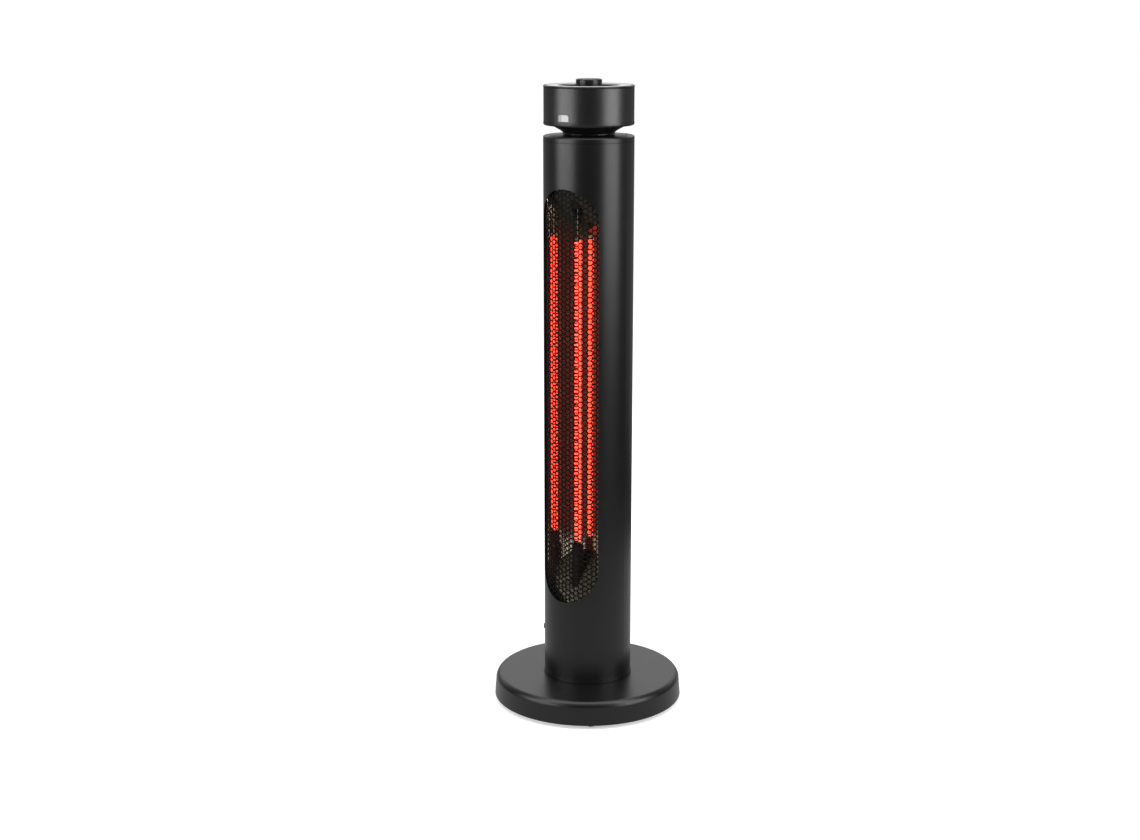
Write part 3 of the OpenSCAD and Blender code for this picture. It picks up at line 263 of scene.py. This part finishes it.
def brushed(name, dark, light, rough, stretch):
    """Metal with fine lines along its longest stretch."""
    made, tree, surface = shader(name)
    lines = noise(tree, scale=60, detail=4, vector=stretched(tree, stretch))
    coloured(tree, surface, lines, dark, light)
    roughened(tree, surface, lines, rough - 0.05, rough + 0.08)
    surface.inputs["Metallic"].default_value = 1.0
    bumped(tree, surface, lines, strength=0.15, distance=0.05 * MM)
    return made


def galvanised():
    """Zinc with faint spangle."""
    made, tree, surface = shader("zinc")
    spangle = cells(tree, scale=180)
    coloured(tree, surface, spangle, dark=(0.52, 0.53, 0.55), light=(0.68, 0.69, 0.71))
    roughened(tree, surface, spangle, 0.3, 0.46, 0.0, 1.0)
    surface.inputs["Metallic"].default_value = 1.0
    bumped(tree, surface, noise(tree, scale=500, detail=3), strength=0.1, distance=0.05 * MM)
    return made


def cast_iron():
    """Rough grey casting."""
    made, tree, surface = shader("cast")
    lumps = noise(tree, scale=420, detail=5)
    coloured(tree, surface, lumps, dark=(0.05, 0.05, 0.055), light=(0.12, 0.12, 0.125))
    roughened(tree, surface, lumps, 0.55, 0.75)
    surface.inputs["Metallic"].default_value = 0.6
    bumped(tree, surface, lumps, strength=0.6, distance=0.3 * MM)
    return made


def rolled_mirror():
    """Rolled aluminium mirror: bright, with faint rolling lines and slow waves. It has a painted
    red glow, an emission that stands in for the lamp's light, strongest close to the lamp."""
    made, tree, surface = shader("mirror")
    lines = noise(tree, scale=30, detail=3, vector=stretched(tree, (60, 60, 1)))
    coloured(tree, surface, lines, dark=(0.74, 0.66, 0.54), light=(0.82, 0.74, 0.6))
    roughened(tree, surface, lines, 0.04, 0.08)
    surface.inputs["Metallic"].default_value = 0.98
    low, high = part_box("lamp_filament")
    middle = (low + high) / 2
    half = (high.z - low.z) / 2
    level_place = vector_maths(tree, "MULTIPLY", place(tree), (1, 1, 0))["Vector"]
    from_axis = vector_maths(tree, "DISTANCE", level_place, (middle.x, middle.y, 0))["Value"]
    from_middle = maths(tree, "ABSOLUTE", maths(tree, "SUBTRACT", axis(tree, "Z"), middle.z))
    # Painted red glow: an emission on the mirror that stands in for the lamp's light, strongest near
    # the lamp's axis and fading past the coil's ends
    along = ranged(tree, from_middle, 1.0, PAINTED_GLOW_END_SHARE,
                   half - PAINTED_GLOW_INSIDE_END, half + PAINTED_GLOW_PAST_END)
    painted_red_glow = maths(tree, "MULTIPLY", ranged(tree, from_axis, *PAINTED_RED_GLOW), along)
    surface.inputs["Emission Color"].default_value = (1.0, 0.06, 0.03, 1.0)
    tree.links.new(painted_red_glow, surface.inputs["Emission Strength"])
    bumped(tree, surface, noise(tree, scale=22, detail=1), strength=0.05, distance=2 * MM)
    return made


def etched_end_with_painted_dark_reflection():
    """The same aluminium, etched: the trough's end plates, with a painted dark reflection, a dark
    olive colour that stands in for the dark room they reflect.
    """
    made, tree, surface = shader("etched")
    grain = noise(tree, scale=700, detail=3)
    # Painted dark reflection: the plates' colour is kept dark and olive so they show a dark room
    coloured(tree, surface, grain, dark=(0.07, 0.063, 0.046), light=(0.1, 0.09, 0.063))
    roughened(tree, surface, grain, 0.16, 0.22)
    surface.inputs["Metallic"].default_value = 0.9
    bumped(tree, surface, grain, strength=0.2, distance=0.05 * MM)
    return made


def silver_ring():
    """Pale satin aluminium ring, turned, so its lines run round the axis."""
    made, tree, surface = shader("silver_ring")
    squares = [maths(tree, "MULTIPLY", part, part) for part in (axis(tree, "X"), axis(tree, "Y"))]
    radius = maths(tree, "SQRT", maths(tree, "ADD", *squares))
    joined = tree.nodes.new("ShaderNodeCombineXYZ")
    tree.links.new(radius, joined.inputs["X"])
    lines = noise(tree, scale=4000, vector=joined.outputs["Vector"])
    coloured(tree, surface, lines, dark=(0.46, 0.465, 0.475), light=(0.54, 0.545, 0.555))
    roughened(tree, surface, lines, 0.3, 0.42)
    surface.inputs["Metallic"].default_value = 0.3
    bumped(tree, surface, lines, strength=0.1, distance=0.03 * MM)
    return made


def fired_cap():
    """Dark ceramic of the lamp's ends."""
    made, tree, surface = shader("ceramic")
    grain = noise(tree, scale=900, detail=3)
    coloured(tree, surface, grain, dark=(0.012, 0.008, 0.006), light=(0.026, 0.018, 0.012))
    roughened(tree, surface, grain, 0.5, 0.65)
    surface.inputs["Specular IOR Level"].default_value = 0.2
    bumped(tree, surface, grain, strength=0.2, distance=0.05 * MM)
    return made


def quartz():
    """Clear fused quartz, slightly golden, with faint drawing lines."""
    made, tree, surface = shader("quartz")
    lines = noise(tree, scale=40, vector=stretched(tree, (20, 20, 1)))
    surface.inputs["Base Color"].default_value = (0.98, 0.94, 0.82, 1.0)
    surface.inputs["Transmission Weight"].default_value = 1.0
    surface.inputs["IOR"].default_value = 1.46
    roughened(tree, surface, lines, 0.0, 0.03)
    return made


def ember():
    """Glowing resistance strand, paler where it is hottest."""
    made, tree, surface = shader("ember")
    heat = noise(tree, scale=240, detail=3)
    glow = blended(tree, heat, dark=(1.0, 0.018, 0.009), light=(1.0, 0.095, 0.068))
    surface.inputs["Base Color"].default_value = (0.08, 0.02, 0.01, 1.0)
    surface.inputs["Roughness"].default_value = 0.6
    tree.links.new(glow, surface.inputs["Emission Color"])
    tree.links.new(ranged(tree, heat, 4.2, 6.2), surface.inputs["Emission Strength"])
    bumped(tree, surface, noise(tree, scale=2500), strength=0.3, distance=0.05 * MM)
    return made


def circuit_board():
    """Green solder mask with copper tracks showing through."""
    made, tree, surface = shader("board")
    bricks = tree.nodes.new("ShaderNodeTexBrick")
    bricks.inputs["Scale"].default_value = 260
    bricks.inputs["Color1"].default_value = (0.012, 0.09, 0.03, 1.0)
    bricks.inputs["Color2"].default_value = (0.016, 0.12, 0.04, 1.0)
    bricks.inputs["Mortar"].default_value = (0.03, 0.2, 0.07, 1.0)
    tree.links.new(place(tree), bricks.inputs["Vector"])
    tree.links.new(bricks.outputs["Color"], surface.inputs["Base Color"])
    roughened(tree, surface, noise(tree, scale=500), 0.2, 0.35)
    bumped(tree, surface, bricks.outputs["Fac"], strength=0.2, distance=0.04 * MM)
    return made


def receiver_window():
    """Smoky grey translucent window, paler on its +X side: a painted reflection."""
    made, tree, surface = shader("lens")
    # Painted reflection: the window is pale past a step along X and darker before it
    painted_reflection_side = ranged(tree, axis(tree, "X"), 0.0, 1.0, *LENS_PAINTED_REFLECTION_STEP)
    coloured(tree, surface, painted_reflection_side, dark=(0.25, 0.253, 0.257), light=(0.4, 0.403, 0.41))
    roughened(tree, surface, noise(tree, scale=700), 0.25, 0.4)
    return made


MATERIALS = {
    "black_paint": powder_coat("black_paint", rough=0.33, gloss=0.45),
    "head_paint": powder_coat("head_paint", rough=0.36, gloss=0.75),
    "black_plastic": moulded("black_plastic", (0.0055, 0.0055, 0.0058), (0.008, 0.008, 0.0084),
                             rough=0.28),
    "bead_black": moulded("bead_black", (0.006, 0.006, 0.006), (0.009, 0.009, 0.009), rough=0.3),
    "mesh_black": enamel(),
    "steel": brushed("steel", (0.42, 0.42, 0.43), (0.58, 0.58, 0.6), rough=0.35, stretch=(1, 30, 1)),
    "zinc": galvanised(),
    "cast": cast_iron(),
    "rubber": moulded("rubber", (0.008, 0.008, 0.008), (0.016, 0.016, 0.016), rough=0.75,
                      grain_scale=500),
    "mirror": rolled_mirror(),
    "etched": etched_end_with_painted_dark_reflection(),
    "silver_ring": silver_ring(),
    "ceramic": fired_cap(),
    "quartz": quartz(),
    "ember": ember(),
    "pom": moulded("pom", (0.68, 0.67, 0.62), (0.76, 0.75, 0.7), rough=0.45),
    "wire": moulded("wire", (0.02, 0.02, 0.02), (0.05, 0.05, 0.05), rough=0.5),
    "board": circuit_board(),
    "lens": receiver_window(),
}

# Nodes whose finish differs from the rest of their slot
FINISHES = {"reflector_ends": "etched", "chassis": "black_paint", "head_shell": "head_paint"}


# Pieces
def dress_nodes():
    """Gives every CAD node its finish and smooth shading between sharp edges."""
    for part in frame["record"]["subparts"]:
        node = NODES[part["node"]]
        node.data.materials.clear()
        finish = FINISHES.get(part["node"], part["material_slot"])
        node.data.materials.append(MATERIALS[finish])
        node.data.shade_smooth()
        node.data.set_sharp_from_angle(angle=CAD_SHARP)


def new_piece(name, points, faces, slot, body, smooth=True):
    """A mesh piece with its finish, riding on a body."""
    mesh = bpy.data.meshes.new(name)
    mesh.from_pydata(points, [], faces)
    mesh.validate()
    mesh.materials.append(MATERIALS[slot])
    if smooth:
        mesh.shade_smooth()
        mesh.set_sharp_from_angle(angle=PIECE_SHARP)
    piece = bpy.data.objects.new(name, mesh)
    bpy.context.scene.collection.objects.link(piece)
    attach(piece, body)
    return piece


def heater_mesh():
    """The perforated sheet: a honeycomb wrapped on a cylinder just inside the tube."""
    low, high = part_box("mesh_grille")
    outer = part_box("column_tube")[1].x - TUBE_WALL - MESH_GAP
    half_width = MESH_SPAN * outer
    corner = CELL / math.sqrt(3)
    column_step = 1.5 * corner
    columns = int(half_width / column_step)
    rows = int((high.z - low.z) / CELL) + 1
    points, faces, known = [], [], {}

    def point(u, z):
        """The number of the point at a place on the flat sheet, kept within its edges."""
        u = max(-half_width, min(half_width, u))
        z = max(low.z, min(high.z, z))
        key = (round(u * MICROMETRES), round(z * MICROMETRES))
        if key not in known:
            known[key] = len(points)
            angle = u / outer
            points.append((outer * math.sin(angle), -outer * math.cos(angle), z))
        return known[key]

    def hexagon(u, z, radius):
        return [point(u + radius * math.cos(t), z + radius * math.sin(t)) for t in HEX_TURNS]

    def has_hole(u, z):
        return (abs(u) + corner < half_width - MESH_MARGIN
                and low.z + MESH_MARGIN < z - CELL / 2 and z + CELL / 2 < high.z - MESH_MARGIN)

    for i in range(-columns, columns + 1):
        for k in range(rows + 1):
            u, z = i * column_step, low.z + (k + 0.5 * (i % 2)) * CELL
            rim = hexagon(u, z, corner)
            if has_hole(u, z):
                hole = hexagon(u, z, HOLE / math.sqrt(3))
                faces += [(rim[a], rim[b], hole[b], hole[a]) for a, b in HEX_EDGES]
            elif len(set(rim)) > 2:
                faces.append(tuple(dict.fromkeys(rim)))
    piece = new_piece("heater_mesh", points, faces, "mesh_black", "column", smooth=False)
    sheet = piece.modifiers.new("sheet", "SOLIDIFY")
    sheet.thickness = MESH_T
    sheet.offset = -1.0
    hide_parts("mesh_grille")


def coil():
    """The glowing strand wound into a helix, with straight tails down to the lead discs."""
    low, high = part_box("lamp_filament")
    centre = (low + high) / 2
    strand = STRAND_D / 2
    radius = (high.x - low.x) / 2 - strand
    start, length = low.z + STRAND_D, high.z - low.z - 2 * STRAND_D
    count = CURLS * RINGS_PER_CURL
    path = [Vector((centre.x + radius, centre.y, low.z))]
    for i in range(count + 1):
        turn = 2 * math.pi * i / RINGS_PER_CURL
        path.append(Vector((centre.x + radius * math.cos(turn), centre.y + radius * math.sin(turn),
                            start + length * i / count)))
    path.append(path[-1] + Vector((0, 0, STRAND_D)))
    points, faces = [], []
    for i, middle in enumerate(path):
        ahead = (path[min(i + 1, len(path) - 1)] - path[max(i - 1, 0)]).normalized()
        out = Vector((middle.x - centre.x, middle.y - centre.y, 0)).normalized()
        side = ahead.cross(out).normalized()
        for j in range(STRAND_SIDES):
            t = 2 * math.pi * j / STRAND_SIDES
            points.append(middle + strand * (math.cos(t) * out + math.sin(t) * side))
    last_ring = len(points) - STRAND_SIDES
    for a in range(0, last_ring, STRAND_SIDES):
        b = a + STRAND_SIDES
        for j in range(STRAND_SIDES):
            k = (j + 1) % STRAND_SIDES
            faces.append((a + j, b + j, b + k, a + k))
    faces.append(tuple(range(STRAND_SIDES)))
    faces.append(tuple(reversed(range(last_ring, len(points)))))
    piece = new_piece("glowing_coil", points, faces, "ember", "column")
    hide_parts("lamp_filament")


# Studio
FLOOR_SIZE = 30.0
FLOOR_GREY = (0.8, 0.8, 0.8, 1)
WHITE = (1, 1, 1, 1)

# Level direction from the camera to the object
BACK = Vector((-0.555, 0.832, 0.0))

# What gloss and glass see round the object, as levels where 1 is white. Each goes from its
# first level to its second between two values: the wall's of a direction along BACK, its
# climb's and the ceiling's of a direction upwards, the far floor's of a place along BACK in
# metres, and the near floor's of the distance from the column's axis
WALL = (0.012, 1.2, 0.15, 0.9)
WALL_CLIMB = (0.1, 1.0, 0.04, 0.3)
CEILING = (0.0, 0.8, 0.66, 0.88)
FAR_FLOOR = (0.012, 0.28, 0.3, 2.0)
NEAR_FLOOR = (0.62, 0.0, 0.8, 0.86)

# The white that the camera sees the floor give off, over the same distance: less where the
# object's shadow lies
FLOOR_WHITE = (0.34, 0.62, 0.2, 0.9)

# Level of the world for every other kind of ray
PLAIN_LIGHT = 0.55

# Soft lights: azimuth in degrees (0 in front, 90 on the right), distance and height in metres,
# size, power in watts, and the height on the column's axis that they aim at
SOFTBOXES = {
    "left_softbox": (-27, 1.8, 0.77, (1.55, 0.46), 13, 0.77),
    "right_softbox": (93, 1.8, 0.83, (1.3, 0.8), 16.5, 0.83),
    "left_high_softbox": (-24, 1.6, 1.95, (0.9, 1.0), 13, 0.3),
    "right_high_softbox": (88, 1.6, 1.95, (0.9, 1.0), 13, 0.3),
    "rear_softbox": (214, 1.5, 3.0, (2.4, 1.4), 14, 0.3),
    "top_softbox": (34, 0.7, 2.6, (2.2, 1.8), 24, 0.3),
}


def camera():
    """The camera at the photograph's place."""
    data = bpy.data.cameras.new("camera")
    data.sensor_fit = "HORIZONTAL"
    data.sensor_width = CAMERA_SENSOR
    data.lens = CAMERA_LENS
    data.shift_y = CAMERA_SHIFT_Y
    data.clip_start, data.clip_end = CAMERA_CLIP
    made = bpy.data.objects.new("camera", data)
    made.location = CAMERA_PLACE
    made.rotation_euler = [math.radians(a) for a in CAMERA_TURN]
    bpy.context.scene.collection.objects.link(made)
    bpy.context.scene.camera = made


def seen_by(tree, *rays):
    """1 for any of these kinds of ray."""
    path = tree.nodes.new("ShaderNodeLightPath")
    found = path.outputs[rays[0]]
    for name in rays[1:]:
        found = maths(tree, "MAXIMUM", found, path.outputs[name])
    return found


def behind(tree, vector, dark, bright, from_low, from_high):
    """The studio's backdrop as a level: bright behind the object, dark in the rest of the room."""
    share = vector_maths(tree, "DOT_PRODUCT", vector, BACK)["Value"]
    return ranged(tree, share, dark, bright, from_low, from_high)


def world():
    """White backdrop for the camera, and behind the object for gloss and glass; soft grey light."""
    made = bpy.data.worlds.new("studio")
    made.use_nodes = True
    bpy.context.scene.world = made
    tree = made.node_tree
    background = tree.nodes["Background"]
    direction = tree.nodes.new("ShaderNodeTexCoord").outputs["Generated"]
    upwards = axis(tree, "Z", direction)
    camera_ray = seen_by(tree, "Is Camera Ray")
    mirrored = seen_by(tree, "Is Glossy Ray", "Is Transmission Ray")
    climb = ranged(tree, upwards, *WALL_CLIMB)
    wall = maths(tree, "MULTIPLY", behind(tree, direction, *WALL), climb)
    room = maths(tree, "MAXIMUM", wall, ranged(tree, upwards, *CEILING))
    shown = maths(tree, "MAXIMUM", camera_ray, maths(tree, "MULTIPLY", mirrored, room))
    plain = maths(tree, "SUBTRACT", 1.0, maths(tree, "MAXIMUM", camera_ray, mirrored))
    level = maths(tree, "ADD", shown, maths(tree, "MULTIPLY", plain, PLAIN_LIGHT))
    background.inputs["Color"].default_value = WHITE
    tree.links.new(level, background.inputs["Strength"])


def floor():
    """Pale floor that fades to the backdrop's white and keeps the object's shadow."""
    half = FLOOR_SIZE / 2
    mesh = bpy.data.meshes.new("floor")
    corners = [(-half, -half, 0), (half, -half, 0), (half, half, 0), (-half, half, 0)]
    mesh.from_pydata(corners, [], [(0, 1, 2, 3)])
    made = bpy.data.objects.new("floor", mesh)
    bpy.context.scene.collection.objects.link(made)
    paint = bpy.data.materials.new("floor")
    paint.use_nodes = True
    mesh.materials.append(paint)
    tree = paint.node_tree
    tree.nodes.remove(tree.nodes["Principled BSDF"])
    output = tree.nodes["Material Output"]
    camera_ray = seen_by(tree, "Is Camera Ray")
    mirrored = seen_by(tree, "Is Glossy Ray", "Is Transmission Ray")
    distance = vector_maths(tree, "LENGTH", place(tree))["Value"]

    diffuse = tree.nodes.new("ShaderNodeBsdfDiffuse")
    diffuse.inputs["Color"].default_value = FLOOR_GREY
    glow = tree.nodes.new("ShaderNodeEmission")
    white = ranged(tree, distance, *FLOOR_WHITE)
    tree.links.new(maths(tree, "MULTIPLY", camera_ray, white), glow.inputs["Strength"])
    lit = tree.nodes.new("ShaderNodeAddShader")
    tree.links.new(diffuse.outputs["BSDF"], lit.inputs[0])
    tree.links.new(glow.outputs["Emission"], lit.inputs[1])

    far = behind(tree, place(tree), *FAR_FLOOR)
    room = maths(tree, "MAXIMUM", far, ranged(tree, distance, *NEAR_FLOOR))
    backdrop = tree.nodes.new("ShaderNodeEmission")
    tree.links.new(room, backdrop.inputs["Strength"])

    shown = tree.nodes.new("ShaderNodeMixShader")
    tree.links.new(mirrored, shown.inputs["Fac"])
    tree.links.new(lit.outputs["Shader"], shown.inputs[1])
    tree.links.new(backdrop.outputs["Emission"], shown.inputs[2])
    tree.links.new(shown.outputs["Shader"], output.inputs["Surface"])


def softbox(name, azimuth, distance, height, size, power, aim_height):
    """A soft light aimed at the column's axis, not seen by the camera."""
    data = bpy.data.lights.new(name, "AREA")
    data.shape = "RECTANGLE"
    data.size, data.size_y = size
    data.energy = power
    made = bpy.data.objects.new(name, data)
    a = math.radians(azimuth)
    made.location = (distance * math.sin(a), -distance * math.cos(a), height)
    aim = Vector((0, 0, aim_height)) - made.location
    made.rotation_euler = aim.to_track_quat("-Z", "Y").to_euler()
    made.visible_camera = False
    bpy.context.scene.collection.objects.link(made)


dress_nodes()
heater_mesh()
coil()
camera()
world()
floor()
for softbox_name, softbox_values in SOFTBOXES.items():
    softbox(softbox_name, *softbox_values)

bpy.context.scene.view_settings.view_transform = "Standard"
